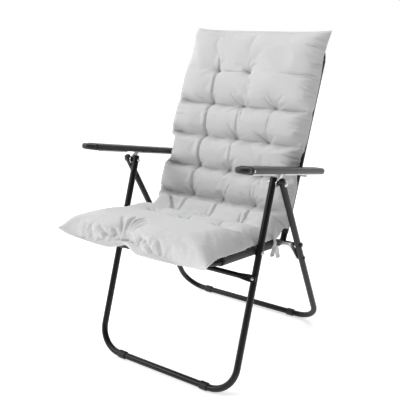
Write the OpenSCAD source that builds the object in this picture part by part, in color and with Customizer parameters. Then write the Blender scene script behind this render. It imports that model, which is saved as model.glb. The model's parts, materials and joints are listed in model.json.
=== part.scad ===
// Reclining folding chair: two pivoted leg frames, a seat and a back hung on them, and two racked armrests.
// X is across the chair (the sitter's left is +X), +Y runs to the rear, +Z is up, the floor is z = 0.

/* [Leg frames] */
// Height of the common top pivot above the floor
pivot_h = 600; // [520:1:680]
// Lean of the front legs from the vertical, in degrees
front_lean = 20; // [16:0.5:24]
// Lean of the rear legs from the vertical, in degrees
rear_lean = 30.3; // [26:0.1:34]
// Distance between the centre lines of the two front legs
front_w = 500; // [460:1:560]
// Outside diameter of the frame tubes
tube_d = 20; // [18:0.5:22]
// Wall of every steel tube
wall = 1.2; // [0.8:0.1:1.5]
// Radius of the bends beside the floor bars
floor_bend = 80; // [70:1:92]
// Length of a front leg above the top pivot
front_past_pivot = 13; // [12:0.5:15]
// Length of a rear leg above the top pivot
rear_past_pivot = 10; // [9:0.5:15]
// Gap between the front and the rear leg tubes
leg_gap = 10.5; // [10:0.1:14]

/* [Seat] */
// Distance of the seat pivot from the top pivot, along the front leg
seat_drop = 205; // [190:1:215]
// Slope of the seat down to the rear, in degrees
seat_slope = 10; // [7:0.5:12]
// Distance of the seat's front bar from the seat pivot
seat_front = 245; // [215:1:260]
// Distance of the seat's link pivot from the seat pivot
seat_rear = 182; // [176:1:184]
// Radius of the bends at the seat's front corners
seat_bend = 75; // [50:1:90]
// Gap between the seat rails and the front legs
rail_gap = 2; // [1.5:0.1:3]

/* [Back] */
// Distance of the back pivot from the top pivot, along the rear leg
back_drop = 266; // [250:1:275]
// Lean of the back from the vertical, in degrees
back_lean = 23.7; // [22:0.1:26]
// Distance of the back's top bar from the back pivot
back_h = 655; // [560:1:720]
// Radius of the bends at the back's top corners
back_bend = 60; // [45:1:80]

/* [Armrests] */
// Length of an armrest in front of the top pivot
arm_front = 234; // [190:1:280]
// Length of an armrest behind the top pivot
arm_rear = 325; // [310:1:370]
// Width of an armrest
arm_w = 46; // [42:1:52]
// Height of an armrest
arm_t = 20; // [18:1:24]
// Height of an armrest's middle over the top pivot
arm_over = 36; // [34:0.5:42]
// Number of notches in a rack
notches = 7; // [4:1:8]
// Spacing of the notches
notch_pitch = 13; // [11:0.5:14]

/* [Crossbars and fittings] */
// Outside diameter of the crossbars
crossbar_d = 16; // [14:0.5:18]
// Height of the front crossbar over the floor
crossbar_z = 336; // [300:1:350]
// Diameter of the pivot bolts
bolt_d = 8; // [6:0.5:8]
// Diameter of the crossbar screws
screw_d = 5; // [4:0.5:6]
// Distance of a front foot from the middle of its bar
front_foot_x = 155; // [100:1:157]
// Distance of a rear foot from the middle of its bar
rear_foot_x = 177; // [100:1:179]
// Length of a foot along its bar
foot_len = 24; // [18:1:30]
// Wall of a foot
foot_wall = 2.6; // [2.2:0.1:4]
// Width of the folding links
link_w = 16; // [14:0.5:16]
// Thickness of the steel links, brackets and racks
plate_t = 2.5; // [2:0.5:3]

/* [Soft parts] */
// Thickness of the sling fabric where it wraps a rail
sling_t = 1.4; // [1:0.1:2]
// Thickness of the seat and back cushions
cushion_t = 50; // [30:1:60]
// Half the width of the cushions where they pass between the legs and armrests
cushion_half = 238; // [215:1:238.5]
// How far the cushions' wide ends stand out past that, on each side
cushion_flare = 10; // [0:1:12]
// Length of the seat cushion in front of the seat's front bar
cushion_overhang = 42; // [20:1:50]
// Length of the back cushion above the back's top bar
cushion_top = 30; // [10:1:40]

/* [Fits] */
// Radial clearance of a bolt in its hole
bolt_play = 0.05; // [0.02:0.01:0.1]
// Radial clearance of a foot, a plug or a sling on its tube
slip = 0.3; // [0.2:0.05:0.5]
// Side clearance beside a turning piece
side_play = 0.5; // [0.3:0.1:1]

/* [Hidden] */
$fn = 48;

black = [0.09, 0.09, 0.1];
zinc = [0.75, 0.76, 0.78];
grey_cloth = [0.8, 0.8, 0.8];

tube_r = tube_d / 2;
bolt_r = bolt_d / 2;
sole_cut = 0.6;                          // how much of a foot's round underside is cut flat
bar_z = tube_r + foot_wall - sole_cut;   // centre of the floor bars

// Layers across the chair, as distances from the middle.
front_x = front_w / 2;
rail_x = front_x - tube_d - rail_gap;
rear_x = front_x + tube_d + leg_gap;
rail_out = rail_x + tube_r;
front_in = front_x - tube_r;
front_out = front_x + tube_r;
rear_in = rear_x - tube_r;
rear_out = rear_x + tube_r;
link_out = rear_in - side_play;
link_in = link_out - plate_t;
plate_in = (front_out + rear_in - plate_t) / 2;   // the armrest bracket, midway between the legs

// Directions in the side view, as [y, z].
function turn(v, a) = [v[0] * cos(a) - v[1] * sin(a), v[0] * sin(a) + v[1] * cos(a)];
front_dir = [-sin(front_lean), -cos(front_lean)];
rear_dir = [sin(rear_lean), -cos(rear_lean)];
seat_dir = [cos(seat_slope), -sin(seat_slope)];
seat_up = [sin(seat_slope), cos(seat_slope)];
back_dir = [sin(back_lean), cos(back_lean)];

// The chair is centred between its foremost point, the seat cushion, and its rearmost, the top bar.
cushion_low = tube_r + slip + sling_t + slip;
seat_reach = seat_front + cushion_overhang;
foremost = seat_drop * front_dir[0] - seat_reach * seat_dir[0] + cushion_low * seat_up[0];
rearmost = back_drop * rear_dir[0] + back_h * back_dir[0] + tube_r;
top = [-(foremost + rearmost) / 2, pivot_h];
seat_pivot = top + seat_drop * front_dir;
back_pivot = top + back_drop * rear_dir;
link_seat = seat_pivot + seat_rear * seat_dir;
front_len = (pivot_h - bar_z) / cos(front_lean);
rear_len = (pivot_h - bar_z) / cos(rear_lean);
front_bar = top + front_len * front_dir;
rear_bar = top + rear_len * rear_dir;

// Folding: the rear legs close by fold_close while the seat turns by seat_turn. The link's pivot on the
// rear leg is the one point of that leg that is as far from the seat's end when open as when folded.
fold_close = 35.5;
seat_turn = 89;
end_open = link_seat - top;
end_folded = turn(seat_pivot + turn(link_seat - seat_pivot, -seat_turn) - top, fold_close);
link_drop = (end_folded * end_folded - end_open * end_open) / (2 * (end_folded - end_open) * rear_dir);
link_leg = top + link_drop * rear_dir;

// The rack pin stands under the armrest, where the back rail passes it.
pin_d = 8;
pin_under = 7.5;                         // from the armrest's underside down to the pin's axis
pin_over = arm_over - arm_t / 2 - pin_under;
arm_slope = 12.4;
arm_up = [sin(arm_slope), cos(arm_slope)];
arm_dir = [cos(arm_slope), -sin(arm_slope)];
pin_up = (pin_over - (back_pivot - top) * arm_up) / (back_dir * arm_up);
pin = back_pivot + pin_up * back_dir;
pin_along = (pin - top) * arm_dir;

// An armrest's own pivot, on the bracket that stands on the top pivot.
arm_pivot_y = 30;
arm_pivot_over = 33;
arm_pivot = top + arm_pivot_y * arm_dir + arm_pivot_over * arm_up;

rail_end = 10;           // of a rail past its last bolt
crossbar_y = top[0] + (pivot_h - crossbar_z) / cos(front_lean) * front_dir[0];

echo(top = top, seat_pivot = seat_pivot, back_pivot = back_pivot, link_leg = link_leg);
echo(link_seat = link_seat, pin = pin, arm_pivot = arm_pivot, front_bar = front_bar, rear_bar = rear_bar);

// ---- Helpers ----

// Puts a drawing whose +Y runs along a member at [y, z], with its +Y turned up by the angle a.
module along(p, a) {
    translate([0, p[0], p[1]]) rotate([a, 0, 0]) children();
}

// One on each side of the chair.
module pair() {
    children();
    mirror([1, 0, 0]) children();
}

// A cylinder across the chair, from x0 to x1, at [y, z].
module across(p, x0, x1, r) {
    translate([x0, p[0], p[1]]) rotate([0, 90, 0]) cylinder(r = r, h = x1 - x0);
}

// A bent bar: it crosses at y = 0 and has its two legs along +Y, at x = +-half.
module bent_bar(half, leg, bend, r, extra = 0) {
    translate([-(half - bend), 0, 0]) rotate([0, 90, 0]) cylinder(r = r, h = 2 * (half - bend));
    pair() {
        translate([half, bend, 0]) rotate([-90, 0, 0]) cylinder(r = r, h = leg - bend + extra);
        translate([half - bend, bend, 0]) rotate([0, 0, -90]) rotate_extrude(angle = 90)
            translate([bend, 0]) circle(r = r);
    }
}

// The same as a tube, open at its ends.
module bent_tube(half, leg, bend) {
    difference() {
        bent_bar(half, leg, bend, tube_r);
        bent_bar(half, leg, bend, tube_r - wall, 1);
    }
}

// A straight tube across the chair.
module cross_tube(p, half, r) {
    difference() {
        across(p, -half, half, r);
        across(p, -half - 1, half + 1, r - wall);
    }
}

// Bolts across a leg on both sides: shank from x0 to x1 with a low domed head outside x1.
module bolts(p, x0, x1, head_r, head_h) {
    pair() {
        across(p, x0, x1, bolt_r);
        translate([x1, p[0], p[1]]) rotate([0, 90, 0]) rotate_extrude()
            polygon([[0, 0], [head_r, 0], [head_r, head_h * 0.4], [head_r * 0.72, head_h], [0, head_h]]);
    }
}

module bolt_holes(p, x0, x1) {
    pair() across(p, x0, x1, bolt_r + bolt_play);
}

// A plug in a tube's end. Its cap stands on the end at y = 0, and its stub fills the tube.
module plug(depth, cap) {
    rotate([-90, 0, 0]) {
        translate([0, 0, -depth]) cylinder(r = tube_r - wall - slip / 3, h = depth);
        rotate_extrude() polygon([[0, 0], [tube_r, 0], [tube_r, cap * 0.45],
            [tube_r * 0.86, cap * 0.85], [tube_r * 0.6, cap], [0, cap]]);
    }
}

// A foot clipped round a floor bar, with a flat sole on the floor.
module foot(p, x) {
    difference() {
        across(p, x - foot_len / 2, x + foot_len / 2, tube_r + foot_wall);
        across(p, x - foot_len / 2 - 1, x + foot_len / 2 + 1, tube_r + slip / 3);
        translate([x - foot_len, p[0] - tube_d, -tube_d]) cube([2 * foot_len, 2 * tube_d, tube_d]);
        // the slit on top that lets the clip open
        translate([x, p[0], p[1] + tube_r]) cube([foot_len + 2, 3, 2 * foot_wall + 4], center = true);
    }
}

// Sling fabric: it wraps both side rails and spans between them over their tops.
module sling_section(face) {
    ring = tube_r + slip;
    pair() translate([rail_x, 0]) difference() {
        circle(r = ring + sling_t);
        circle(r = ring);
    }
    difference() {
        translate([-rail_x, face > 0 ? ring : -ring - sling_t]) square([2 * rail_x, sling_t]);
        pair() translate([rail_x, 0]) circle(r = ring + sling_t / 2);
    }
}

// The sling along a pair of rails, from y0 to y1 along them, on the face side.
module sling(y0, y1, face) {
    translate([0, y1, 0]) rotate([90, 0, 0]) linear_extrude(height = y1 - y0) sling_section(face);
}

// A slot through a sling's wrap, for a bolt or a crossbar at y along the rail.
module sling_slot(y) {
    pair() translate([rail_x - tube_d, y - 11, -tube_r * 0.85]) cube([2 * tube_d, 22, tube_r * 1.7]);
}

// A cushion's outline, with a flare of its width past y_wide.
module cushion_outline(y0, y1, y_wide) {
    w = cushion_half;
    f = w + cushion_flare;
    c = 18;
    polygon([[-w, y0], [w, y0], [w, y_wide], [f, y_wide + c], [f, y1 - c], [f - c, y1],
        [c - f, y1], [-f, y1 - c], [-f, y_wide + c], [-w, y_wide]]);
}

// ---- Front legs ----

module front_leg_frame() {
    color(black) difference() {
        along(front_bar, 90 - front_lean) bent_tube(front_x, front_len + front_past_pivot, floor_bend);
        bolt_holes(top, front_in - 1, front_out + 1);
        bolt_holes(seat_pivot, front_in - 1, front_out + 1);
        screw_places() cylinder(r = screw_d / 2 + bolt_play, h = 4 * tube_r, center = true);
    }
}

// The crossbar's screw axes: local z runs forward out of a leg, from the leg's centre line.
module screw_places() {
    pair() translate([front_x, crossbar_y, crossbar_z]) rotate([90 - front_lean, 0, 0]) children();
}

lug_t = 2 * wall + 0.6;           // the crossbar's ends, pressed flat
lug_h = crossbar_d * 1.35;

module lug(x) {
    translate([x, 0, 0]) cube([0.5, lug_h, lug_t], center = true);
}

module front_crossbar() {
    flare = 34;
    bar_half = front_in - flare;
    color(black) translate([0, crossbar_y, crossbar_z]) rotate([90 - front_lean, 0, 0])
        translate([0, 0, tube_r + slip + lug_t / 2]) difference() {
            union() {
                difference() {
                    across([0, 0], -bar_half, bar_half, crossbar_d / 2);
                    across([0, 0], -bar_half + 1, bar_half - 1, crossbar_d / 2 - wall);
                }
                pair() {
                    hull() {
                        across([0, 0], bar_half - 0.5, bar_half, crossbar_d / 2, $fn = 32);
                        lug(front_in - 4);
                    }
                    translate([front_in - 4, -lug_h / 2, -lug_t / 2])
                        cube([front_x + 3 - front_in, lug_h, lug_t]);
                    translate([front_x - 1, 0, -lug_t / 2]) cylinder(r = lug_h / 2, h = lug_t);
                }
            }
            pair() translate([front_x, 0, -tube_r])
                cylinder(r = screw_d / 2 + bolt_play, h = tube_d);
        }
}

module crossbar_screws() {
    face = tube_r + slip + lug_t;
    color(zinc) screw_places() {
        translate([0, 0, -tube_r - 5]) cylinder(r = screw_d / 2, h = tube_r + 5 + face);
        translate([0, 0, face]) rotate_extrude()
            polygon([[0, 0], [screw_d, 0], [screw_d * 0.9, 1.6], [screw_d * 0.5, 2.8], [0, 3.1]]);
        translate([0, 0, -tube_r - 4.5]) difference() {
            cylinder(r = screw_d * 0.95, h = 4.2, $fn = 6);
            translate([0, 0, -1]) cylinder(r = screw_d / 2, h = 7);
        }
    }
}

module front_feet() {
    color(black) pair() foot(front_bar, front_foot_x);
}

module front_leg_plugs() {
    end = top - front_past_pivot * front_dir;
    color(black) pair() along(end, 90 - front_lean) translate([front_x, 0, 0]) plug(6, 3);
}

module top_pivot_bolts() {
    color(zinc) difference() {
        bolts(top, front_in - 4, rear_out, bolt_d * 0.95, 4);
        pair() across(top, front_in - 5, front_in - 4, bolt_r);
    }
}

module seat_pivot_bolts() {
    color(zinc) bolts(seat_pivot, rail_x - tube_r - 4, front_out, bolt_d * 0.85, 4);
}

module seat_pivot_washers() {
    color(black) difference() {
        pair() across(seat_pivot, rail_out + slip, front_in - slip, tube_r * 0.9);
        bolt_holes(seat_pivot, rail_out - 1, front_in + 1);
    }
}

// ---- Rear legs ----

module rear_leg_frame() {
    color(black) difference() {
        along(rear_bar, 90 + rear_lean) bent_tube(rear_x, rear_len + rear_past_pivot, floor_bend);
        bolt_holes(top, rear_in - 1, rear_out + 1);
        bolt_holes(back_pivot, rear_in - 1, rear_out + 1);
        bolt_holes(link_leg, rear_in - 1, rear_out + 1);
    }
}

module rear_feet() {
    color(black) pair() foot(rear_bar, rear_foot_x);
}

module rear_leg_plugs() {
    end = top - rear_past_pivot * rear_dir;
    color(black) pair() along(end, 90 + rear_lean) translate([rear_x, 0, 0]) plug(4, 5);
}

module back_pivot_bolts() {
    color(black) bolts(back_pivot, rail_x - tube_r - 4, rear_out, tube_r * 0.95, 4);
}

spacer_r = 5.5;

module back_pivot_spacers() {
    color(black) difference() {
        pair() across(back_pivot, rail_out + sling_t + 2 * slip, rear_in - slip, spacer_r);
        bolt_holes(back_pivot, rail_out - 1, rear_in + 1);
    }
}

module link_bolts() {
    color(black) difference() {
        union() {
            bolts(link_leg, link_in - 3, rear_out, bolt_d * 0.8, 2.5);
            pair() across(link_leg, link_in - 4, link_in - side_play, bolt_d * 0.8);
        }
        pair() across(link_leg, link_in - 5, link_in - 4, bolt_d);
    }
}

// ---- Links ----

module link() {
    angle = atan2(link_seat[1] - link_leg[1], link_seat[0] - link_leg[0]);
    len = norm(link_seat - link_leg);
    r = link_w / 2;
    along(link_leg, angle) translate([link_in, 0, 0]) rotate([90, 0, 90])
        linear_extrude(height = plate_t) difference() {
            union() {
                translate([0, -r]) square([len, link_w]);
                circle(r = r);
                translate([len, 0]) circle(r = r);
            }
            circle(r = bolt_r + bolt_play);
            translate([len, 0]) circle(r = bolt_r + bolt_play);
        }
}

module link_left() {
    color(zinc) link();
}

module link_right() {
    color(zinc) mirror([1, 0, 0]) link();
}

// ---- Seat ----

module seat_frame() {
    color(black) difference() {
        along(seat_pivot - seat_front * seat_dir, -seat_slope)
            bent_tube(rail_x, seat_front + seat_rear + rail_end - 3, seat_bend);
        bolt_holes(seat_pivot, rail_x - tube_d, rail_out + 1);
        bolt_holes(link_seat, rail_x - tube_d, rail_out + 1);
    }
}

seat_bar_y = seat_rear - 32;

module seat_rear_crossbar() {
    color(black) cross_tube(seat_pivot + seat_bar_y * seat_dir, rail_x - tube_r - slip, crossbar_d / 2);
}

module seat_rail_plugs() {
    color(black) pair() along(link_seat + (rail_end - 3) * seat_dir, -seat_slope)
        translate([rail_x, 0, 0]) plug(2.5, 2);
}

module seat_link_studs() {
    color(zinc) pair() {
        across(link_seat, rail_x - tube_r - 4, link_in - side_play, bolt_r);
        difference() {
            across(link_seat, rail_out + slip, link_in - side_play, spacer_r);
            across(link_seat, rail_out - 1, link_in, bolt_r);
        }
    }
}

seat_sling_front = -(seat_front - seat_bend);

module seat_sling() {
    color(black) along(seat_pivot, -seat_slope) difference() {
        sling(seat_sling_front, seat_rear - 8, 1);
        sling_slot(0);
        sling_slot(seat_bar_y);
        sling_slot(seat_rear);
    }
}

module seat_cushion() {
    color(grey_cloth) along(seat_pivot, -seat_slope) translate([0, 0, cushion_low])
        rotate([0, 0, 180]) linear_extrude(height = cushion_t)
            cushion_outline(-(seat_rear - 40), seat_reach, seat_drop + front_past_pivot);
}

tie_y = seat_rear * 0.62;

module cushion_ties() {
    outer = rail_out + slip + sling_t + slip;
    color(grey_cloth) pair() along(seat_pivot, -seat_slope)
        translate([outer, tie_y, -52]) cube([1.2, 12, 52 + cushion_low]);
}

// ---- Back ----

module back_frame() {
    color(black) difference() {
        along(back_pivot + back_h * back_dir, -90 - back_lean)
            bent_tube(rail_x, back_h + rail_end, back_bend);
        bolt_holes(back_pivot, rail_x - tube_d, rail_out + 1);
        bolt_holes(pin, rail_x - tube_d, rail_out + 1);
    }
}

back_sling_low = 28;
back_bar_y = 70;

module back_lower_crossbar() {
    color(black) cross_tube(back_pivot + back_bar_y * back_dir, rail_x - tube_r - slip, crossbar_d / 2);
}

module back_rail_plugs() {
    color(black) pair() along(back_pivot - rail_end * back_dir, -90 - back_lean)
        translate([rail_x, 0, 0]) plug(5, 2);
}

pin_reach = arm_w / 2 - 1;

module rack_pins() {
    color(zinc) pair() across(pin, rail_x - tube_r - 3, rail_out + pin_reach, pin_d / 2);
}

module back_sling() {
    color(black) along(back_pivot, 90 - back_lean) difference() {
        sling(back_sling_low, back_h - back_bend, 1);
        sling_slot(back_bar_y);
        sling_slot(pin_up);
    }
}

module back_cushion() {
    color(grey_cloth) along(back_pivot, 90 - back_lean) translate([0, 0, cushion_low])
        linear_extrude(height = cushion_t)
            cushion_outline(88, back_h + cushion_top, pin_up + 95);
}

// ---- Armrests: drawn on the left, about the top pivot, level, then turned to their slope ----

arm_mid = front_in + arm_w / 2;

module armrest(left) {
    mirror([left ? 0 : 1, 0, 0]) along(top, -arm_slope) translate([arm_mid, 0, arm_over]) children();
}

// The section across an armrest: all four edges are well rounded.
module arm_section(w, t) {
    r = t * 0.4;
    square([w, t - 2 * r], center = true);
    square([w - 2 * r, t], center = true);
    for (x = [-1, 1], z = [-1, 1]) translate([x * (w / 2 - r), z * (t / 2 - r)]) circle(r = r);
}

cap_len = 34;
arm_shell = 2.5;

// A bar with rounded edges from y = -len to its round end at y = 0.
module arm_bar(w, t, len) {
    translate([0, -w / 2, 0]) {
        rotate([90, 0, 0]) linear_extrude(height = len - w / 2) arm_section(w, t);
        rotate_extrude(angle = 180) intersection() {
            arm_section(w, t);
            translate([0, -t]) square([w, 2 * t]);
        }
    }
}

module armrest_cover(left) {
    // from the front cap to the rounded rear end
    len = arm_front + arm_rear - cap_len;
    inner_w = arm_w - 2 * arm_shell;
    color(black) armrest(left) difference() {
        translate([0, arm_rear, 0]) arm_bar(arm_w, arm_t, len);
        translate([0, arm_rear - arm_w / 2, 0]) rotate([90, 0, 0])
            linear_extrude(height = len - arm_w / 2 - arm_shell) {
                arm_section(inner_w, arm_t - 2 * arm_shell);
                translate([-inner_w / 2, -arm_t]) square([inner_w, arm_t]);
            }
        rivet_places() cylinder(r = rivet_r + bolt_play, h = 2 * arm_shell + 2, center = true);
    }
}

rivet_r = 1.6;

// The cover's rivets, on its round rear end and behind the front cap: local z runs out of the wall's middle.
module rivet_places() {
    for (place = [[arm_rear - arm_w / 2, 40], [-arm_front + cap_len + 8, 0]])
        translate([0, place[0], 0]) rotate([0, 0, place[1]]) translate([(arm_w - arm_shell) / 2, 0, 0])
            rotate([0, 90, 0]) children();
}

module armrest_cap(left) {
    color(black) armrest(left) translate([0, -arm_front - slip, 0]) mirror([0, 1, 0])
        arm_bar(arm_w - 3, arm_t - 3, cap_len);
}

rack_w = 30;
rack_h = 17;
rack_low = -arm_t / 2 - 1.5;
rack_tooth = 5;
arm_pin_r = 2.5;

module armrest_rack(left) {
    rear = arm_rear - arm_w / 2 - 6;
    front = -arm_front + cap_len + 14;
    color(zinc) armrest(left) difference() {
        translate([-rack_w / 2, front, rack_low]) cube([rack_w, rear - front, rack_h]);
        translate([-rack_w / 2 + plate_t, front - 1, rack_low - 1])
            cube([rack_w - 2 * plate_t, rear - front + 2, rack_h + 1 - plate_t]);
        // notches in the inner wall, which rests on the rack pin
        for (i = [0:notches - 1]) translate([-rack_w, pin_along + i * notch_pitch, rack_low])
            rotate([0, 90, 0]) cylinder(r = rack_tooth, h = rack_w);
        // both walls are cut back over the tops of the legs
        translate([-rack_w, -50, rack_low - 1]) cube([2 * rack_w, 64, rack_h - plate_t - 1]);
        translate([-rack_w, arm_pivot_y, arm_pivot_over - arm_over]) rotate([0, 90, 0])
            cylinder(r = arm_pin_r + bolt_play, h = 2 * rack_w);
    }
}

// A plate from the top pivot up into the rack, where the armrest is pinned to it.
module armrest_bracket(left) {
    foot_r = 12;
    head_r = 5.5;
    neck = 0.9;          // the plate's half width beside its round ends, as a share of their radius
    lean = atan2(arm_pivot_over, arm_pivot_y);
    side = neck * [sin(lean), -cos(lean)];
    head = [arm_pivot_y, arm_pivot_over];
    color(zinc) armrest(left) translate([plate_in - arm_mid, 0, -arm_over])
        rotate([90, 0, 90]) linear_extrude(height = plate_t) difference() {
            union() {
                circle(r = foot_r);
                translate(head) circle(r = head_r);
                polygon([foot_r * side, head + head_r * side, head - head_r * side, -foot_r * side]);
            }
            circle(r = bush_r + bolt_play);
            translate(head) circle(r = arm_pin_r + bolt_play);
        }
}

// The hinge pin through the rack's walls and the bracket, with a flat head at each end.
module armrest_pin(left) {
    half = rack_w / 2 + slip;
    color(zinc) armrest(left) translate([0, arm_pivot_y, arm_pivot_over - arm_over]) rotate([0, 90, 0]) {
        cylinder(r = arm_pin_r, h = 2 * half, center = true);
        for (z = [-half - 1.5, half]) translate([0, 0, z]) cylinder(r = 2 * arm_pin_r, h = 1.5);
    }
}

bush_r = 7;

module armrest_bush(left) {
    color(black) mirror([left ? 0 : 1, 0, 0]) difference() {
        across(top, front_out + slip, rear_in - slip, bush_r);
        across(top, front_out - 1, rear_in + 1, bolt_r + bolt_play);
    }
}

module armrest_rivets(left) {
    color(zinc) armrest(left) rivet_places() {
        cylinder(r = rivet_r, h = arm_shell + 2, center = true);
        translate([0, 0, arm_shell / 2]) rotate_extrude()
            polygon([[0, 0.1], [2.2 * rivet_r, 0.1], [2 * rivet_r, 0.9], [1.2 * rivet_r, 1.6], [0, 1.8]]);
    }
}

module armrest_cover_left() armrest_cover(true);
module armrest_cover_right() armrest_cover(false);
module armrest_cap_left() armrest_cap(true);
module armrest_cap_right() armrest_cap(false);
module armrest_rack_left() armrest_rack(true);
module armrest_rack_right() armrest_rack(false);
module armrest_pin_left() armrest_pin(true);
module armrest_pin_right() armrest_pin(false);
module armrest_bracket_left() armrest_bracket(true);
module armrest_bracket_right() armrest_bracket(false);
module armrest_rivets_left() armrest_rivets(true);
module armrest_rivets_right() armrest_rivets(false);
module armrest_bush_left() armrest_bush(true);
module armrest_bush_right() armrest_bush(false);

front_leg_frame();
front_crossbar();
crossbar_screws();
front_feet();
front_leg_plugs();
top_pivot_bolts();
seat_pivot_bolts();
seat_pivot_washers();
rear_leg_frame();
rear_feet();
rear_leg_plugs();
back_pivot_bolts();
back_pivot_spacers();
link_bolts();
link_left();
link_right();
seat_frame();
seat_rear_crossbar();
seat_rail_plugs();
seat_link_studs();
seat_sling();
seat_cushion();
cushion_ties();
back_frame();
back_lower_crossbar();
back_rail_plugs();
rack_pins();
back_sling();
back_cushion();
armrest_bush_left();
armrest_bush_right();
armrest_bracket_left();
armrest_bracket_right();
armrest_cover_left();
armrest_cap_left();
armrest_rack_left();
armrest_pin_left();
armrest_rivets_left();
armrest_cover_right();
armrest_cap_right();
armrest_rack_right();
armrest_pin_right();
armrest_rivets_right();
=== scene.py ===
"""A reclining folding chair: the CAD frame with its finishes, two slings and a tufted cushion."""
import json
import math
import random

import bpy
import numpy as np
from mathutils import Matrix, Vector, noise as fractal


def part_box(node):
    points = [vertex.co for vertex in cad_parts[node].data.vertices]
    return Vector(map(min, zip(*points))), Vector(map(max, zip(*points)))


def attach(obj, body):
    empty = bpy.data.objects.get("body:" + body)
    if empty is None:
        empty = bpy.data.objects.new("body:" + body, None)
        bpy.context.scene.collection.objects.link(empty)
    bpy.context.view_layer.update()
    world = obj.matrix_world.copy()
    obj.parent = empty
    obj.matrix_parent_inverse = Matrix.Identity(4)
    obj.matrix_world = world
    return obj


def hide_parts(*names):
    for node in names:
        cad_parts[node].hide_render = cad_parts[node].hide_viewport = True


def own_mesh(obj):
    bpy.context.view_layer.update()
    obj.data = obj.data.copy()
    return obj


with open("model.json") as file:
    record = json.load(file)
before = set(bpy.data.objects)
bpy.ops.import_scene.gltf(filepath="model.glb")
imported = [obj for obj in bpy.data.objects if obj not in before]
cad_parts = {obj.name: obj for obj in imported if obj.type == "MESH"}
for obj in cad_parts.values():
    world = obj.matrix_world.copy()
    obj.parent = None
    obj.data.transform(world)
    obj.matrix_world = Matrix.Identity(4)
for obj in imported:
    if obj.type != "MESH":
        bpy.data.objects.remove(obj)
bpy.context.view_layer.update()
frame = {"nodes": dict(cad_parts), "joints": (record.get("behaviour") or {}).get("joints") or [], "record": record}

# ---- Sizes in metres ----

TUBE_R = 0.010
RAIL_X = 0.228                 # the seat's and the back's side rails, from the middle
LEG_INSIDE = 0.240             # the front legs' and armrests' inner faces
SLING_R = TUBE_R + 0.0009      # the sling's middle surface where it wraps a rail
SLING_SAG = 0.004
CUSHION_LOW = 0.0125           # the cushions' underside over the rails' centre lines
SEAM_N = 0.020                 # the cushions' edge seam over the same lines
CUSHION_HALF = 0.25            # half the cushions' cut width
TUFT_X = (-0.120, 0.0, 0.120)
MESH_STEP = 0.0052             # between the cushions' mesh points
CLOTH_MIN = 0.004              # the least height of a crease over the cushion's underside


# ---- Places from the frame ----

JOINTS = {joint["name"]: joint for joint in frame["joints"]}


def middle(node):
    low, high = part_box(node)
    return (np.array(low) + np.array(high)) / 2


class Panel:
    """Flat coordinates on the seat or the back: x across, s along its rails, n out of its face."""

    def __init__(self, pivot, toward):
        self.pivot = np.array(pivot, float)
        self.along = np.array(toward, float) - self.pivot
        self.along[0] = 0.0
        self.along /= np.linalg.norm(self.along)
        self.out = np.cross([1.0, 0.0, 0.0], self.along)
        self.pivot[0] = 0.0

    def world(self, points):
        points = np.asarray(points, float).reshape(-1, 3)
        return (self.pivot + points[:, :1] * np.array([1.0, 0.0, 0.0])
                + points[:, 1:2] * self.along + points[:, 2:] * self.out)


SEAT = Panel(JOINTS["seat_fold"]["pos_m"], middle("seat_link_studs"))
BACK = Panel(JOINTS["back_tilt"]["pos_m"], middle("rack_pins"))


# ---- Node helpers ----

def new_material(name):
    material = bpy.data.materials.new(name)
    material.use_nodes = True
    nodes = material.node_tree.nodes
    nodes.clear()
    shader = nodes.new("ShaderNodeBsdfPrincipled")
    output = nodes.new("ShaderNodeOutputMaterial")
    material.node_tree.links.new(shader.outputs["BSDF"], output.inputs["Surface"])
    return material, shader


def add(material, kind, inputs=None, **settings):
    node = material.node_tree.nodes.new(kind)
    for key, value in settings.items():
        setattr(node, key, value)
    for key, value in (inputs or {}).items():
        if isinstance(value, bpy.types.NodeSocket):
            material.node_tree.links.new(value, node.inputs[key])
        else:
            node.inputs[key].default_value = value
    return node


def join(material, output, socket):
    material.node_tree.links.new(output, socket)


def ramp(material, factor, low, high, start=0.3, end=0.7):
    """A factor turned into a colour between two colours."""
    node = add(material, "ShaderNodeValToRGB", {"Fac": factor})
    first, last = node.color_ramp.elements
    first.position, first.color = start, (*low, 1.0)
    last.position, last.color = end, (*high, 1.0)
    return node.outputs["Color"]


def spread(material, value, low, high):
    """A factor from 0 to 1 mapped to a range."""
    node = add(material, "ShaderNodeMapRange", {"Value": value, "To Min": low, "To Max": high})
    return node.outputs["Result"]


def noise(material, vector, scale, detail=4.0, rough=0.55):
    node = add(material, "ShaderNodeTexNoise",
               {"Vector": vector, "Scale": scale, "Detail": detail, "Roughness": rough})
    return node.outputs["Fac"]


def bump(material, height, strength, distance, normal=None):
    inputs = {"Height": height, "Strength": strength, "Distance": distance}
    if normal is not None:
        inputs["Normal"] = normal
    return add(material, "ShaderNodeBump", inputs).outputs["Normal"]


def weave(material, vector, threads_per_m):
    """Warp and weft threads crossing over and under, as a height from 0 to 1."""
    heights = []
    for direction in ("X", "Y"):
        wave = add(material, "ShaderNodeTexWave",
                   {"Vector": vector, "Scale": threads_per_m / 20.0 * math.pi, "Distortion": 0.4,
                    "Detail": 1.0, "Detail Scale": 2.0},
                   wave_type="BANDS", bands_direction=direction, wave_profile="SIN")
        heights.append(wave.outputs["Fac"])
    both = add(material, "ShaderNodeMath", {0: heights[0], 1: heights[1]}, operation="MULTIPLY")
    return both.outputs["Value"]


# ---- Materials ----

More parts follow.
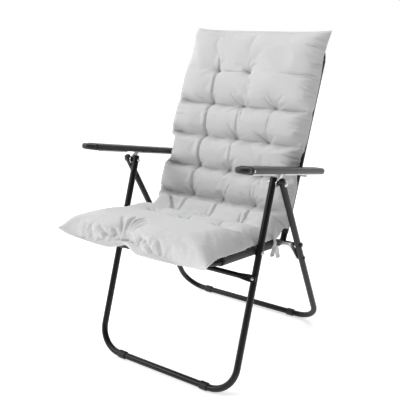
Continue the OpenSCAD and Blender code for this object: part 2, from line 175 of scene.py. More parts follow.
def powder_coat():
    """Black semi-gloss powder coat on steel, with its fine orange peel."""
    material, shader = new_material("powder_coat")
    place = add(material, "ShaderNodeTexCoord").outputs["Object"]
    cloud = noise(material, place, 14.0)
    join(material, ramp(material, cloud, (0.0035, 0.0035, 0.004), (0.007, 0.007, 0.0075)),
         shader.inputs["Base Color"])
    join(material, spread(material, noise(material, place, 60.0), 0.30, 0.42), shader.inputs["Roughness"])
    peel = bump(material, noise(material, place, 900.0, 2.0), 0.12, 0.0004)
    join(material, bump(material, cloud, 0.05, 0.002, peel), shader.inputs["Normal"])
    shader.inputs["Specular IOR Level"].default_value = 0.34
    return material


def moulded_plastic(name, dark, light, rough_low, rough_high):
    """Black moulded plastic with a fine spark-eroded grain."""
    material, shader = new_material(name)
    place = add(material, "ShaderNodeTexCoord").outputs["Object"]
    join(material, ramp(material, noise(material, place, 22.0), dark, light), shader.inputs["Base Color"])
    join(material, spread(material, noise(material, place, 90.0), rough_low, rough_high),
         shader.inputs["Roughness"])
    grain = add(material, "ShaderNodeTexVoronoi", {"Vector": place, "Scale": 1400.0})
    join(material, bump(material, grain.outputs["Distance"], 0.18, 0.0003), shader.inputs["Normal"])
    return material


def zinc_plate():
    """Bright zinc with faint rolling lines and a mottled passivation."""
    material, shader = new_material("zinc_plate")
    place = add(material, "ShaderNodeTexCoord").outputs["Object"]
    mottle = noise(material, place, 120.0)
    join(material, ramp(material, mottle, (0.52, 0.53, 0.55), (0.74, 0.74, 0.73)),
         shader.inputs["Base Color"])
    stretched = add(material, "ShaderNodeMapping", {"Vector": place, "Scale": (1.0, 0.06, 1.0)})
    lines = noise(material, stretched.outputs["Vector"], 900.0, 2.0)
    join(material, spread(material, lines, 0.24, 0.44), shader.inputs["Roughness"])
    join(material, bump(material, lines, 0.06, 0.0002), shader.inputs["Normal"])
    shader.inputs["Metallic"].default_value = 1.0
    return material


def sling_cloth():
    """Black oxford cloth: a coarse basket weave with a dull sheen."""
    material, shader = new_material("sling_cloth")
    place = add(material, "ShaderNodeUVMap", uv_map="flat").outputs["UV"]
    threads = weave(material, place, 900.0)
    join(material, ramp(material, threads, (0.005, 0.005, 0.006), (0.017, 0.017, 0.018), 0.1, 0.9),
         shader.inputs["Base Color"])
    join(material, spread(material, noise(material, place, 300.0), 0.62, 0.82), shader.inputs["Roughness"])
    slack = bump(material, noise(material, place, 9.0, 3.0), 0.25, 0.004)
    join(material, bump(material, threads, 0.5, 0.0004, slack), shader.inputs["Normal"])
    shader.inputs["Sheen Weight"].default_value = 0.25
    shader.inputs["Sheen Roughness"].default_value = 0.5
    return material


def cushion_cloth(name="cushion_cloth", dark=(0.600, 0.600, 0.606), light=(0.690, 0.690, 0.694)):
    """Light grey cotton and polyester cloth: plain weave, slubs and soft creases."""
    material, shader = new_material(name)
    place = add(material, "ShaderNodeUVMap", uv_map="flat").outputs["UV"]
    slub_place = add(material, "ShaderNodeMapping", {"Vector": place, "Scale": (1.0, 9.0, 1.0)})
    slub = noise(material, slub_place.outputs["Vector"], 120.0, 3.0)
    cloud = noise(material, place, 7.0, 5.0)
    blend = add(material, "ShaderNodeMix", {"Factor": 0.45, "A": cloud, "B": slub}, data_type="FLOAT")
    join(material, ramp(material, blend.outputs["Result"], dark, light), shader.inputs["Base Color"])
    join(material, spread(material, slub, 0.84, 0.95), shader.inputs["Roughness"])
    creases = bump(material, noise(material, place, 42.0, 6.0, 0.62), 0.22, 0.0022)
    slubs = bump(material, slub, 0.10, 0.0004, creases)
    join(material, bump(material, weave(material, place, 1500.0), 0.30, 0.00025, slubs),
         shader.inputs["Normal"])
    shader.inputs["Sheen Weight"].default_value = 0.18
    shader.inputs["Sheen Roughness"].default_value = 0.6
    shader.inputs["Specular IOR Level"].default_value = 0.25
    return material


def thread(name, colour):
    """Twisted sewing thread."""
    material, shader = new_material(name)
    place = add(material, "ShaderNodeTexCoord").outputs["Object"]
    shade = noise(material, place, 800.0, 2.0)
    join(material, ramp(material, shade, tuple(c * 0.8 for c in colour), colour),
         shader.inputs["Base Color"])
    join(material, bump(material, shade, 0.3, 0.0003), shader.inputs["Normal"])
    shader.inputs["Roughness"].default_value = 0.75
    return material


POWDER = powder_coat()
PLASTIC = moulded_plastic("moulded_plastic", (0.010, 0.010, 0.011), (0.019, 0.019, 0.020), 0.32, 0.46)
SOFT_PLASTIC = moulded_plastic("soft_plastic", (0.008, 0.008, 0.009), (0.015, 0.015, 0.016), 0.46, 0.62)
ZINC = zinc_plate()
SLING = sling_cloth()
CLOTH = cushion_cloth()
GREY_THREAD = thread("grey_thread", (0.55, 0.55, 0.56))
BLACK_THREAD = thread("black_thread", (0.05, 0.05, 0.052))


# ---- Finishes of the CAD nodes ----

def finish_of(node):
    """The finish of a CAD node, by the material slot that the record gives it."""
    slots = {part["node"]: part["material_slot"] for part in frame["record"]["subparts"]}
    if slots[node] == "zinc_plate":
        return ZINC
    if slots[node] == "black_plastic":
        return SOFT_PLASTIC if node.endswith(("feet", "plugs", "washers", "spacers")) else PLASTIC
    return {"sling_fabric": SLING, "cushion_cloth": CLOTH}.get(slots[node], POWDER)


for cad_name, cad_object in frame["nodes"].items():
    cad_object.data.materials.clear()
    cad_object.data.materials.append(finish_of(cad_name))


# ---- Mesh helpers ----

def mesh_object(name, points, faces, material, flat=None, smooth=True):
    """A piece from points and faces, with a flat layout of the cloth as its UV map."""
    mesh = bpy.data.meshes.new(name)
    mesh.from_pydata([tuple(map(float, p)) for p in points], [], [tuple(map(int, f)) for f in faces])
    mesh.update()
    if flat is not None:
        layer = mesh.uv_layers.new(name="flat")
        corners = np.array([loop.vertex_index for loop in mesh.loops])
        layer.data.foreach_set("uv", np.asarray(flat, float)[corners].astype(np.float32).ravel())
    mesh.polygons.foreach_set("use_smooth", [smooth] * len(mesh.polygons))
    mesh.materials.append(material)
    piece = bpy.data.objects.new(name, mesh)
    bpy.context.scene.collection.objects.link(piece)
    return piece


def grid_faces(columns, rows):
    """Quads of a grid whose points run along the columns first."""
    return [(r * columns + c, r * columns + c + 1, (r + 1) * columns + c + 1, (r + 1) * columns + c)
            for r in range(rows - 1) for c in range(columns - 1)]


def baked(piece):
    """The piece with its modifiers applied, as plain mesh in the same object."""
    bpy.context.view_layer.update()
    graph = bpy.context.evaluated_depsgraph_get()
    mesh = bpy.data.meshes.new_from_object(piece.evaluated_get(graph), depsgraph=graph)
    old = piece.data
    piece.modifiers.clear()
    piece.data = mesh
    bpy.data.meshes.remove(old)
    return piece


def smooth_step(value):
    value = np.clip(value, 0.0, 1.0)
    return value * value * (3.0 - 2.0 * value)


# ---- Stitches by Geometry Nodes ----

def stitch_tree():
    """Geometry Nodes: short capsules of thread laid end to end along the piece's own edges."""
    tree = bpy.data.node_groups.new("stitches", "GeometryNodeTree")
    face = tree.interface
    face.new_socket(name="Geometry", in_out="INPUT", socket_type="NodeSocketGeometry")
    sizes = (("Spacing", 0.004), ("Stitch Length", 0.003), ("Thread Radius", 0.00035))
    for name, value in sizes:
        socket = face.new_socket(name=name, in_out="INPUT", socket_type="NodeSocketFloat")
        socket.default_value = value
    face.new_socket(name="Thread", in_out="INPUT", socket_type="NodeSocketMaterial")
    face.new_socket(name="Geometry", in_out="OUTPUT", socket_type="NodeSocketGeometry")
    nodes, links = tree.nodes, tree.links
    given = nodes.new("NodeGroupInput")
    result = nodes.new("NodeGroupOutput")
    curve = nodes.new("GeometryNodeMeshToCurve")
    spaced = nodes.new("GeometryNodeResampleCurve")
    spaced.mode = "LENGTH"
    tangent = nodes.new("GeometryNodeInputTangent")
    turned = nodes.new("FunctionNodeAlignRotationToVector")
    turned.axis = "Z"
    stitch = nodes.new("GeometryNodeMeshCylinder")
    stitch.inputs["Vertices"].default_value = 6
    placed = nodes.new("GeometryNodeInstanceOnPoints")
    real = nodes.new("GeometryNodeRealizeInstances")
    painted = nodes.new("GeometryNodeSetMaterial")
    links.new(given.outputs["Geometry"], curve.inputs["Mesh"])
    links.new(curve.outputs["Curve"], spaced.inputs["Curve"])
    links.new(given.outputs["Spacing"], spaced.inputs["Length"])
    links.new(tangent.outputs["Tangent"], turned.inputs["Vector"])
    links.new(given.outputs["Thread Radius"], stitch.inputs["Radius"])
    links.new(given.outputs["Stitch Length"], stitch.inputs["Depth"])
    links.new(spaced.outputs["Curve"], placed.inputs["Points"])
    links.new(stitch.outputs["Mesh"], placed.inputs["Instance"])
    links.new(turned.outputs["Rotation"], placed.inputs["Rotation"])
    links.new(placed.outputs["Instances"], real.inputs["Geometry"])
    links.new(real.outputs["Geometry"], painted.inputs["Geometry"])
    links.new(given.outputs["Thread"], painted.inputs["Material"])
    links.new(painted.outputs["Geometry"], result.inputs["Geometry"])
    return tree


STITCHES = stitch_tree()


def set_input(modifier, name, value):
    """Sets a Geometry Nodes input by its socket's identifier."""
    for item in modifier.node_group.interface.items_tree:
        if item.item_type == "SOCKET" and item.in_out == "INPUT" and item.name == name:
            modifier[item.identifier] = value


def stitched(name, runs, material, body, spacing=0.004, length=0.003, radius=0.00035):
    """Rows of stitches along runs of world points."""
    points = [point for run in runs for point in run]
    edges = []
    start = 0
    for run in runs:
        edges += [(start + i, start + i + 1) for i in range(len(run) - 1)]
        start += len(run)
    mesh = bpy.data.meshes.new(name)
    mesh.from_pydata([tuple(map(float, p)) for p in points], edges, [])
    piece = bpy.data.objects.new(name, mesh)
    bpy.context.scene.collection.objects.link(piece)
    modifier = piece.modifiers.new("stitches", "NODES")
    modifier.node_group = STITCHES
    set_input(modifier, "Spacing", spacing)
    set_input(modifier, "Stitch Length", length)
    set_input(modifier, "Thread Radius", radius)
    set_input(modifier, "Thread", material)
    baked(piece)
    if not piece.data.materials:
        piece.data.materials.append(material)
    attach(piece, body)
    return piece


# ---- Slings ----

WRAP_START = math.radians(-60.0)      # where the cloth starts, on a rail's inner lower side
WRAP_STEPS = 24
SPAN_STEPS = 32
HEM = 0.014
SLING_T = 0.0011
STITCH_LIFT = 0.0008                  # of the thread's middle over the sling's middle surface


def span_height(x):
    """The sling's height over the rails' centre lines where it spans them, with its sag."""
    return SLING_R - SLING_SAG * (1.0 - (x / RAIL_X) ** 2) ** 0.7


def sling_profile():
    """Points (x, n) from the left rail's inner side, round it, across the chair and round the right one."""
    half = []
    for i in range(WRAP_STEPS + 1):
        angle = WRAP_START - (WRAP_START + math.radians(270.0)) * i / WRAP_STEPS
        half.append((-RAIL_X + SLING_R * math.cos(angle), SLING_R * math.sin(angle)))
    span = []
    for i in range(1, SPAN_STEPS):
        x = -RAIL_X + 2 * RAIL_X * i / SPAN_STEPS
        span.append((x, span_height(x)))
    return half + span + [(-x, n) for x, n in reversed(half)]


def sling(name, panel, start, end, body, node):
    """A sling stretched over a pair of rails from start to end along them."""
    profile = sling_profile()
    steps = [0.0]
    for (x0, n0), (x1, n1) in zip(profile, profile[1:]):
        steps.append(steps[-1] + math.hypot(x1 - x0, n1 - n0))
    rows = int((end - start) / 0.012) + 1
    points, flat = [], []
    for r in range(rows):
        s = start + (end - start) * r / (rows - 1)
        for (x, n), run in zip(profile, steps):
            inner = smooth_step(1.0 - abs(x) / (RAIL_X - TUBE_R)) if abs(x) < RAIL_X else 0.0
            ripple = 0.0006 * inner * math.sin(70.0 * s + 9.0 * x)
            points.append((x, s, n + ripple))
            flat.append((run, s))
    piece = mesh_object(name, panel.world(points), grid_faces(len(profile), rows), SLING, flat)
    shell = piece.modifiers.new("cloth thickness", "SOLIDIFY")
    shell.thickness = SLING_T
    shell.offset = 0.0
    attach(piece, body)
    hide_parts(node)

    def across(s):
        xs = np.linspace(-RAIL_X + 0.004, RAIL_X - 0.004, 60)
        above = [(x, s, n + STITCH_LIFT) for x, n in zip(xs, span_height(xs))]
        below = [(x, s, n - STITCH_LIFT) for x, n in zip(xs[::-1], span_height(xs[::-1]))]
        return list(panel.world(above + below))

    def beside(x, side):
        n = span_height(x) + side * STITCH_LIFT
        return list(panel.world([(x, s, n) for s in np.linspace(start + 0.003, end - 0.003, 60)]))

    inner = RAIL_X - TUBE_R - 0.006
    runs = [across(start + HEM), across(end - HEM)]
    runs += [beside(x, side) for x in (-inner, inner) for side in (-1, 1)]
    threads = stitched(name + "_stitches", runs, BLACK_THREAD, body)
    return piece


# ---- Cushions ----

def simulated(points, faces, pins, pressure, growth, frames=26, stiffness=0.22):
    """The cushion's upper cloth, inflated and pulled in at its pins."""
    scene = bpy.context.scene
    mesh = bpy.data.meshes.new("cloth")
    mesh.from_pydata([tuple(map(float, p)) for p in points], [], faces)
    cloth = bpy.data.objects.new("cloth", mesh)
    scene.collection.objects.link(cloth)
    group = cloth.vertex_groups.new(name="pins")
    for weight in np.unique(pins):
        if weight > 0:
            group.add([int(i) for i in np.nonzero(pins == weight)[0]], float(weight), "REPLACE")
    modifier = cloth.modifiers.new("cloth", "CLOTH")
    settings = modifier.settings
    settings.quality = 6
    settings.mass = 0.15
    settings.tension_stiffness = settings.compression_stiffness = 20.0
    settings.shear_stiffness = 6.0
    settings.bending_stiffness = stiffness
    settings.tension_damping = settings.compression_damping = 12.0
    settings.shear_damping = 8.0
    settings.bending_damping = 1.0
    settings.air_damping = 3.0
    settings.use_pressure = True
    settings.uniform_pressure_force = pressure
    settings.shrink_min = -growth
    settings.vertex_group_mass = "pins"
    settings.pin_stiffness = 1.0
    settings.effector_weights.gravity = 0.0
    modifier.collision_settings.use_collision = False
    modifier.collision_settings.use_self_collision = False
    modifier.point_cache.frame_start = 1
    modifier.point_cache.frame_end = frames
    scene.frame_start = 1
    scene.frame_end = frames
    for step in range(1, frames + 1):
        scene.frame_set(step)
    shape = cloth.evaluated_get(bpy.context.evaluated_depsgraph_get())
    moved = np.array([vertex.co[:] for vertex in shape.data.vertices])
    scene.frame_set(1)
    bpy.data.objects.remove(cloth)
    bpy.data.meshes.remove(mesh)
    return moved


class Cushion:
    """A tufted cushion: its outline, its crown, its tufts and the rows that they stand in."""

    def __init__(self, name, panel, start, end, tufts, rows, half_widths, crown, seam, under, end_bow):
        self.name, self.panel = name, panel
        self.start, self.end = start, end
        self.tufts = tufts             # (x, s, n) of every tuft
        self.rows = rows               # (s, n, hold) of every stitched row, and how firmly it is held
        self.half_widths = half_widths
        self.crown, self.seam, self.under, self.end_bow = crown, seam, under, end_bow

    def grid(self):
        columns = int(2 * CUSHION_HALF / MESH_STEP) | 1
        lines = int((self.end - self.start) / MESH_STEP) | 1
        a, b = np.meshgrid(np.linspace(-1, 1, columns), np.linspace(0, 1, lines))
        return columns, lines, a.ravel(), b.ravel()

    def shape(self, a, b):
        """The cloth before it is inflated: x, s and n of each point, and its pins."""
        s = self.start + (self.end - self.start) * b
        left, right = self.half_widths(s)
        x = np.where(a < 0, a * left, a * right)
        side = (1 - np.abs(a)) * CUSHION_HALF
        ends = np.minimum(b, 1 - b) * (self.end - self.start)
        is_right = a < 0
        side_rise = 1 - (1 - np.clip(side / np.where(is_right, 0.034, 0.060), 0, 1)) ** 3.0
        end_rise = 1 - (1 - np.clip(ends / 0.045, 0, 1)) ** 2.6
        s = s + self.end_bow(x, b, ends)
        seam = self.seam(x, s)
        n = seam + (self.crown(x, s) - seam) * (side_rise * end_rise)
        edge = (np.abs(a) > 0.9999) | (b < 0.0001) | (b > 0.9999)
        pins = np.where(edge, 1.0, 0.0)
        for row, low, hold in self.rows:
            line = row + 0.0022 * np.cos(2 * math.pi * x / (TUFT_X[2] - TUFT_X[1]))
            valley = np.exp(-((s - line) / 0.015) ** 2) * smooth_step(side / np.where(is_right, 0.050, 0.018))
            n = n - np.maximum(n - low, 0) * valley * min(1.0, hold * 2.5)
            held = (np.abs(s - line) < MESH_STEP * 0.55) & (side > 0.012) & ~edge
            pins = np.where(held, hold, pins)
        for tuft_x, tuft_s, tuft_n in self.tufts:
            far = np.hypot(x - tuft_x, s - tuft_s)
            n = n - np.maximum(n - tuft_n, 0) * np.exp(-(far / 0.013) ** 2)
            pins = np.where(far < MESH_STEP * 0.8, 1.0, pins)
        return np.stack([x, s, n], axis=1), pins, edge

    def build(self, material, slits, pressure, growth, limit, finish=None):
        """The finished cushion: inflated by at most limit, then creased along slits (path, width, depth)."""
        columns, lines, a, b = self.grid()
        points, pins, edge = self.shape(a, b)
        faces = grid_faces(columns, lines)
        top = points
        move = simulated(points, faces, pins, pressure, growth) - points
        far = np.linalg.norm(move, axis=1, keepdims=True)
        top = points + move * np.minimum(1.0, limit / np.maximum(far, 1e-9))
        left, right = self.half_widths(top[:, 1])
        top[:, 0] = np.clip(top[:, 0], -left - 0.001, right + 0.001)
        inside = np.nonzero(~edge)[0]
        base = points[inside]
        side = (1 - np.abs(a[inside])) * CUSHION_HALF
        ends = np.minimum(b[inside], 1 - b[inside]) * (self.end - self.start)
        depth = smooth_step(np.minimum(side, ends) / 0.022)
        seam = self.seam(base[:, 0], base[:, 1])
        low = base.copy()
        low[:, 2] = seam + (self.under(base[:, 1]) - seam) * depth
        number = np.arange(len(top))
        number[inside] = len(top) + np.arange(len(inside))
        under_faces = [tuple(number[i] for i in reversed(face)) for face in faces]
        flat = np.vstack([points[:, :2], base[:, :2]])
        piece = mesh_object(self.name, np.vstack([top, low]), faces + under_faces, material, flat)
        rounder = piece.modifiers.new("rounder", "SUBSURF")
        rounder.levels = rounder.render_levels = 1
        baked(piece)
        mesh = piece.data
        places = np.array([vertex.co[:] for vertex in mesh.vertices])
        is_top = np.zeros(len(places), bool)
        is_top[[i for face in mesh.polygons if face.index < 4 * len(faces) for i in face.vertices]] = True
        smooth = places[:, 2].copy()
        for path, width, deep in slits:
            places = creased(places, is_top, path, width, deep)
        floor = np.minimum(smooth, self.under(places[:, 1]) + CLOTH_MIN)
        places[:, 2] = np.maximum(places[:, 2], floor)
        if finish:
            places = finish(places, is_top)
        mesh.vertices.foreach_set("co", self.panel.world(places).astype(np.float32).ravel())
        mesh.update()
        return piece


def creased(places, is_top, path, width, deep):
    """A sharp crease in the upper cloth along a path of (x, s) points, fading out at its end."""
    best = np.full(len(places), 9.0)
    fade = np.zeros(len(places))
    count = len(path) - 1
    for i in range(count):
        start, end = np.array(path[i]), np.array(path[i + 1])
        line = end - start
        share = np.clip(((places[:, :2] - start) @ line) / (line @ line), 0, 1)
        far = np.linalg.norm(places[:, :2] - (start + share[:, None] * line), axis=1)
        along = (i + share) / count
        closer = far < best
        best = np.where(closer, far, best)
        fade = np.where(closer, np.sin(np.pi * np.clip(0.12 + 0.88 * along, 0, 1)) ** 0.5, fade)
    lowered = places.copy()
    lowered[:, 2] -= deep * fade * np.exp(-(best / width) ** 2) * is_top
    return lowered


BACK_ROWS = ((0.092, 0.034, 1.0), (0.193, 0.036, 1.0), (0.302, 0.037, 1.0), (0.415, 0.038, 1.0),
             (0.528, 0.047, 0.10))
BACK_TUFTS = [(x, s, n - 0.005) for s, n, _ in BACK_ROWS[:4] for x in TUFT_X]
BACK_TUFTS += [(TUFT_X[0], 0.528, 0.042), (TUFT_X[1], 0.528, 0.038)]
BACK_START, BACK_END = 0.040, 0.684


def back_half_widths(s):
    """The back cushion's reach to each side: narrow between the armrests, with corners at the top."""
    narrow = LEG_INSIDE - 0.001
    wide = 0.248 - 0.006 * np.exp(-((s - 0.60) / 0.05) ** 2) + 0.002 * smooth_step((s - 0.64) / 0.04)
    past = np.maximum(smooth_step((s - 0.276) / 0.020), smooth_step((0.208 - s) / 0.018))
    pinch = sum(np.exp(-((s - row) / 0.010) ** 2) for row, _, _ in BACK_ROWS[:4]) * 0.003
    right = narrow + (wide - narrow) * past - pinch
    return right + (0.008 + 0.006 * np.exp(-((s - 0.30) / 0.12) ** 2)) * past, right


def back_crown(x, s):
    """The puffs' height: a little more at the sides, and less on the tall head puff."""
    side = 0.003 * smooth_step((x - 0.12) / 0.05) + 0.009 * smooth_step((-0.13 - x) / 0.06)
    return 0.063 + side - 0.010 * smooth_step((s - 0.50) / 0.08)


def back_seam(x, s):
    return np.full_like(x, SEAM_N)


def back_end_bow(x, b, ends):
    """The top edge dips between its corner ears."""
    return smooth_step((b - 0.92) / 0.08) * (0.007 * (np.abs(x) / CUSHION_HALF) ** 6 - 0.001)


def back_under(s):
    return np.full_like(s, CUSHION_LOW)


SEAT_ROWS = ((0.096, 0.052, 1.0),)
SEAT_TUFTS = [(x, 0.096, 0.042) for x in TUFT_X] + [(x, -0.012, 0.044) for x in TUFT_X]
SEAT_START, SEAT_END = -0.277, 0.198


def seat_half_widths(s):
    """The seat cushion's reach to each side: wide before the front legs, narrow between them."""
    narrow = LEG_INSIDE - 0.0015
    wide = 0.247 + 0.008 * smooth_step((-0.22 - s) / 0.06)
    reach = narrow + (wide - narrow) * smooth_step((-0.045 - s) / 0.05)
    reach = reach - 0.003 * np.exp(-((s - SEAT_ROWS[0][0]) / 0.018) ** 2)
    return reach, reach


def seat_crown(x, s):
    """The puffs' height: one broad puff in front, and lobes that climb to the back at the rear."""
    rear = smooth_step((s - 0.10) / 0.06)
    front = smooth_step((-0.12 - s) / 0.16)
    lobe = np.exp(-((x + 0.19) / 0.055) ** 2 - ((s - 0.030) / 0.060) ** 2)
    return 0.057 + 0.032 * rear + 0.010 * lobe - 0.006 * front * (np.abs(x) / CUSHION_HALF) ** 2


def seat_seam(x, s):
    """The seam drops at the front, where the cushion hangs over the front bar."""
    drop = smooth_step((-0.225 - s) / 0.045)
    ears = (np.abs(x) / CUSHION_HALF) ** 4
    return SEAM_N - drop * (0.034 - 0.028 * ears) + 0.030 * smooth_step((s - 0.14) / 0.05)


def seat_end_bow(x, b, ends):
    """The front edge is gathered in beside its middle, runs out to its corners and hangs under the puff."""
    front = smooth_step((0.14 - b) / 0.14)
    ears = (np.abs(x) / CUSHION_HALF) ** 4
    gather = 0.018 * np.exp(-((x + 0.035) / 0.035) ** 2)
    overhang = 0.026 * np.sin(math.pi * np.clip(ends / 0.06, 0, 1)) * (1 - ears) * (b < 0.5)
    return front * (gather + 0.008 * (1 - ears) - 0.022 * ears) - overhang


def front_crumple(places, is_top):
    """The loose front wall of the seat cushion, gathered into folds left of its middle."""
    x, s, n = places.T
    near = smooth_step((-0.246 - s) / 0.022) * smooth_step((0.052 - n) / 0.020)
    near *= np.exp(-((x + 0.03) / 0.15) ** 4) * is_top
    crumpled = places.copy()
    for i in np.nonzero(near > 0.01)[0]:
        at = Vector((x[i] * 26.0 + n[i] * 14.0, n[i] * 30.0, 0.4))
        fine = Vector((x[i] * 62.0 - n[i] * 30.0, n[i] * 50.0, 2.7))
        fold = 0.011 * (1 - abs(fractal.noise(at))) ** 4 + 0.005 * (1 - abs(fractal.noise(fine))) ** 4
        crumpled[i, 1] += near[i] * fold
    return crumpled


def seat_under(s):
    return CUSHION_LOW - 0.020 * smooth_step((-0.258 - s) / 0.015)


def column_slits(marks, x, bow=0.004):
    """Slits that run from tuft to tuft along a column, a little bowed."""
    shape = ((0.0, 0.0), (1.0, 0.3), (0.6, 0.65), (0.0, 1.0))      # shares of the bow and of the run
    return [[(x + bow * out, low + share * (high - low)) for out, share in shape]
            for low, high in zip(marks, marks[1:])]


def row_slits(row, low, high):
    """The sharp line where two puffs meet along a row, in short runs from tuft to tuft."""
    ends = (low, *(x for x in TUFT_X if low < x < high), high)
    return [[(a, row), ((a + b) / 2, row - 0.004), (b, row)] for a, b in zip(ends, ends[1:])]


def gathers(tufts, dice, count, reach):
    """Fine folds that fan out from each tuft, above all upwards."""
    folds = []
    for x, s, _ in tufts:
        for _ in range(count):
            angle = math.radians(dice.uniform(15, 165) if dice.random() < 0.75 else dice.uniform(195, 345))
            length = dice.uniform(0.4, 1.0) * reach
            bend = angle + dice.uniform(-0.25, 0.25)
            half = (x + 0.5 * length * math.cos(bend), s + 0.5 * length * math.sin(bend))
            end = (x + length * math.cos(angle), s + length * math.sin(angle))
            folds.append(([(x, s), half, end], dice.uniform(0.0024, 0.0042), dice.uniform(0.0020, 0.0055)))
    return folds


def puckers(edge, low, high, dice, step, reach):
    """Short folds that run in from a side seam, which is stitched tighter than the cloth."""
    folds, s = [], low
    while s < high:
        inward = edge - math.copysign(dice.uniform(0.3, 1.0) * reach, edge)
        end = (inward, s + dice.uniform(-0.008, 0.008))
        folds.append(([(edge, s), ((edge + inward) / 2, s), end], 0.0024, dice.uniform(0.0020, 0.0060)))
        s += step * dice.uniform(0.6, 1.5)
    return folds


def make_back_cushion(dice):
    """Four deep rows below a tall head puff, with a sharp fold down the column beside the right rail."""
    marks = [row for row, _, _ in BACK_ROWS]
    head = marks[-1]
    slits = [(path, 0.0034, 0.017) for path in column_slits(marks, TUFT_X[0])]
    slits += [(path, 0.0028, 0.006) for path in column_slits(marks[1:4], TUFT_X[1], 0.006)]
    slits += [(path, 0.0026, 0.003) for path in column_slits(marks[2:4], TUFT_X[2], -0.003)]
    slits += [(path, 0.0030, 0.009) for row in marks[:4] for path in row_slits(row, -0.236, 0.240)]
    slits.append(([(TUFT_X[0], head), (-0.06, head - 0.005), (TUFT_X[1], head - 0.001)], 0.0034, 0.006))
    slits.append(([(0.236, head + 0.004), (0.19, head - 0.004), (TUFT_X[2], head - 0.004)], 0.0040, 0.007))
    slits += gathers(BACK_TUFTS, dice, 7, 0.062)
    slits += puckers(0.240, 0.06, 0.66, dice, 0.012, 0.055)
    slits += puckers(-0.246, 0.06, 0.45, dice, 0.020, 0.050)
    cushion = Cushion("back_cushion_tufted", BACK, BACK_START, BACK_END, BACK_TUFTS, BACK_ROWS,
                      back_half_widths, back_crown, back_seam, back_under, back_end_bow)
    return cushion.build(CLOTH, slits, pressure=2.2, growth=0.006, limit=0.012)


def make_seat_cushion(dice):
    """Lobes at the rear, a row of tufts across the middle and a front edge gathered at one place."""
    row = SEAT_ROWS[0][0]
    slits = [(path, 0.0034, 0.015) for x in TUFT_X for path in column_slits((row, SEAT_END - 0.014), x, 0.010)]
    slits.append(([(TUFT_X[0], row), (-0.16, 0.135), (-0.20, 0.175)], 0.0050, 0.026))
    slits += [(path, 0.0036, 0.016) for path in row_slits(row, -0.150, 0.215)]
    slits += [([(x - 0.022, -0.010), (x, -0.014), (x + 0.022, -0.008)], 0.0036, 0.015) for x in TUFT_X]
    gather = (-0.035, -0.280)
    for x, s in ((-0.082, -0.215), (-0.055, -0.185), (-0.028, -0.175), (-0.004, -0.200), (0.020, -0.225)):
        bend = ((x + gather[0]) / 2 + 0.004, (s + gather[1]) / 2)
        slits.append(([gather, bend, (x, s)], 0.0042, 0.010))
    slits += gathers(SEAT_TUFTS, dice, 6, 0.055)
    slits += puckers(0.245, -0.25, 0.17, dice, 0.014, 0.035)
    slits += puckers(-0.245, -0.25, 0.17, dice, 0.016, 0.040)
    cushion = Cushion("seat_cushion_tufted", SEAT, SEAT_START, SEAT_END, SEAT_TUFTS, SEAT_ROWS,
                      seat_half_widths, seat_crown, seat_seam, seat_under, seat_end_bow)
    return cushion.build(CLOTH, slits, pressure=3.0, growth=0.012, limit=0.014, finish=front_crumple)


def make_cushions():
    dice = random.Random(7)
    back = make_back_cushion(dice)
    seat = make_seat_cushion(dice)
    for piece, body, node in ((back, "back", "back_cushion"), (seat, "seat", "seat_cushion")):
        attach(piece, body)
        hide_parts(node)
    back_hem = hem_stitches("back_cushion_hem_stitches", back, BACK, 0.668, 0.215, "back")
    seat_hem = hem_stitches("seat_cushion_hem_stitches", seat, SEAT, 0.182, 0.210, "seat")
    for piece in (back, back_hem):
        flattened(piece, BACK)
    for piece in (seat, seat_hem):
        flattened(piece, SEAT)


def flattened(piece, panel):
    """Gives the piece its own copy of its mesh; the anchor point on the panel is worked out but not used, and
    nothing flattens the piece.
    """
    anchor = panel.world([(0, 0, CUSHION_LOW)])[0]
    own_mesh(piece)


def hem_stitches(name, piece, panel, s, reach, body):
    """A row of grey thread across a cushion's upper cloth, where its end is hemmed."""
    bpy.context.view_layer.update()
    run = []
    for x in np.linspace(-reach, reach, 160):
        start = Vector(panel.world([(x, s, 0.15)])[0])
        hit, place, _, _ = piece.ray_cast(start, -Vector(panel.out))
        if hit:
            run.append(np.array(place) + 0.0002 * panel.out)
    return stitched(name, [run], GREY_THREAD, body)


# ---- Ties ----

def strip(path, half, points, faces, flat):
    """A flat ribbon along panel points (x, s, n), half as wide as the vector half to each side."""
    first, run = len(points), 0.0
    for i, place in enumerate(path):
        if i:
            run += math.dist(place, path[i - 1])
        for side in (-1.0, -0.33, 0.33, 1.0):
            points.append(tuple(c + side * h for c, h in zip(place, half)))
            flat.append((side * math.hypot(*half), run))
    faces += [tuple(first + i for i in face) for face in grid_faces(4, len(path))]


TIE_X = 0.2425                 # the ties' distance from the middle, beside the seat's rails
# Each ribbon's points (outwards from TIE_X, s, n) and its half width as a vector: from the cushion's
# seam round the rail, the knot, and the two hanging tails.
TIE_RIBBONS = (
    (((-0.004, 0.112, 0.032), (0.0, 0.113, 0.022), (0.0015, 0.114, 0.012), (0.001, 0.116, 0.002)),
     (0.0, 0.0085, 0.0)),
    (((0.0, 0.104, 0.006), (0.0045, 0.110, 0.009), (0.005, 0.117, 0.007), (0.001, 0.122, 0.001)),
     (0.0, 0.0030, 0.0080)),
    (((0.001, 0.113, 0.004), (0.003, 0.109, -0.008), (0.001, 0.104, -0.020), (0.004, 0.101, -0.030)),
     (0.0042, 0.0070, 0.0012)),
    (((0.002, 0.118, 0.003), (0.005, 0.126, -0.010), (0.003, 0.136, -0.024), (0.006, 0.141, -0.040)),
     (0.0040, 0.0068, 0.0018)),
)


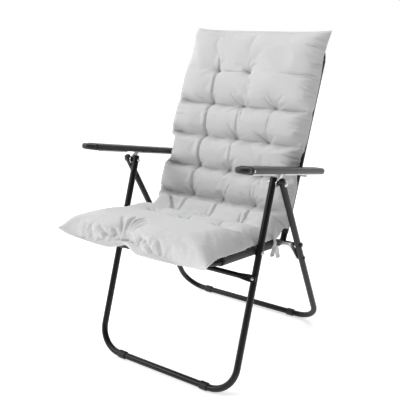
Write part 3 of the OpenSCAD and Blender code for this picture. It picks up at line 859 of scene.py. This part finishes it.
def make_ties():
    """Each tie is knotted round the seat's rail, with two hanging tails."""
    points, faces, flat = [], [], []
    for side in (-1, 1):
        for path, half in TIE_RIBBONS:
            placed = [(side * (TIE_X + out), s, n) for out, s, n in path]
            strip(placed, half, points, faces, flat)
    piece = mesh_object("cushion_tie_ribbons", SEAT.world(points), faces, CLOTH, flat)
    shell = piece.modifiers.new("ribbon thickness", "SOLIDIFY")
    shell.thickness = 0.0009
    shell.offset = 0.0
    rounder = piece.modifiers.new("rounder", "SUBSURF")
    rounder.levels = rounder.render_levels = 2
    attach(piece, "seat")
    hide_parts("cushion_ties")


# ---- Camera, lights and floor ----

def make_camera():
    camera = bpy.data.objects.new("camera", bpy.data.cameras.new("camera"))
    bpy.context.scene.collection.objects.link(camera)
    camera.location = Vector(JOINTS["fold"]["pos_m"]) + Vector((0.961, -1.480, 0.4585))
    pitch, yaw = math.radians(17.91), math.radians(32.94)
    camera.rotation_euler = (math.pi / 2 - pitch, 0.0, yaw)
    camera.data.lens = 51.96
    camera.data.sensor_width = 36.0
    bpy.context.scene.camera = camera


def make_light(name, place, target, size, power):
    lamp = bpy.data.objects.new(name, bpy.data.lights.new(name, "AREA"))
    lamp.data.shape = "DISK"
    lamp.data.size = size
    lamp.data.energy = power
    lamp.location = place
    lamp.rotation_euler = (Vector(target) - Vector(place)).to_track_quat("-Z", "Y").to_euler()
    bpy.context.scene.collection.objects.link(lamp)


def make_studio():
    """A white studio, darker on one side for the black frame's contrast, and white where it is seen."""
    world = bpy.data.worlds.new("studio")
    world.use_nodes = True
    nodes, links = world.node_tree.nodes, world.node_tree.links
    background = nodes["Background"]
    background.inputs["Color"].default_value = (1.0, 1.0, 1.0, 1.0)
    place = nodes.new("ShaderNodeTexCoord")
    facing = nodes.new("ShaderNodeVectorMath")
    facing.operation = "DOT_PRODUCT"
    facing.inputs[1].default_value = (-0.80, 0.55, 0.20)
    tone = nodes.new("ShaderNodeMapRange")
    tone.inputs["From Min"].default_value = -0.15
    tone.inputs["From Max"].default_value = 0.45
    tone.inputs["To Min"].default_value = 0.10
    tone.inputs["To Max"].default_value = 1.0
    links.new(place.outputs["Generated"], facing.inputs[0])
    links.new(facing.outputs["Value"], tone.inputs["Value"])
    seen = nodes.new("ShaderNodeLightPath")
    brighter = nodes.new("ShaderNodeMath")
    brighter.operation = "MAXIMUM"
    links.new(tone.outputs["Result"], brighter.inputs[0])
    links.new(seen.outputs["Is Camera Ray"], brighter.inputs[1])
    links.new(brighter.outputs["Value"], background.inputs["Strength"])
    bpy.context.scene.world = world
    make_light("key", (-1.5, -2.0, 2.1), (0.0, 0.0, 0.5), 1.5, 36.0)
    make_light("top", (0.3, 0.1, 3.0), (0.0, 0.1, 0.5), 2.4, 22.0)
    floor = mesh_object("floor", [(-9, -9, 0), (9, -9, 0), (9, 9, 0), (-9, 9, 0)], [(0, 1, 2, 3)],
                        floor_paint(), smooth=False)
    bpy.context.scene.view_settings.view_transform = "Standard"


def floor_paint():
    material, shader = new_material("floor_paint")
    shader.inputs["Base Color"].default_value = (0.97, 0.97, 0.97, 1.0)
    shader.inputs["Emission Color"].default_value = (1.0, 1.0, 1.0, 1.0)
    shader.inputs["Emission Strength"].default_value = 0.55
    shader.inputs["Roughness"].default_value = 0.9
    shader.inputs["Specular IOR Level"].default_value = 0.1
    return material


# ---- Making ----

make_camera()
make_studio()
sling("seat_sling_cloth", SEAT, -0.186, 0.174, "seat", "seat_sling")
sling("back_sling_cloth", BACK, 0.028, 0.595, "back", "back_sling")
make_cushions()
make_ties()
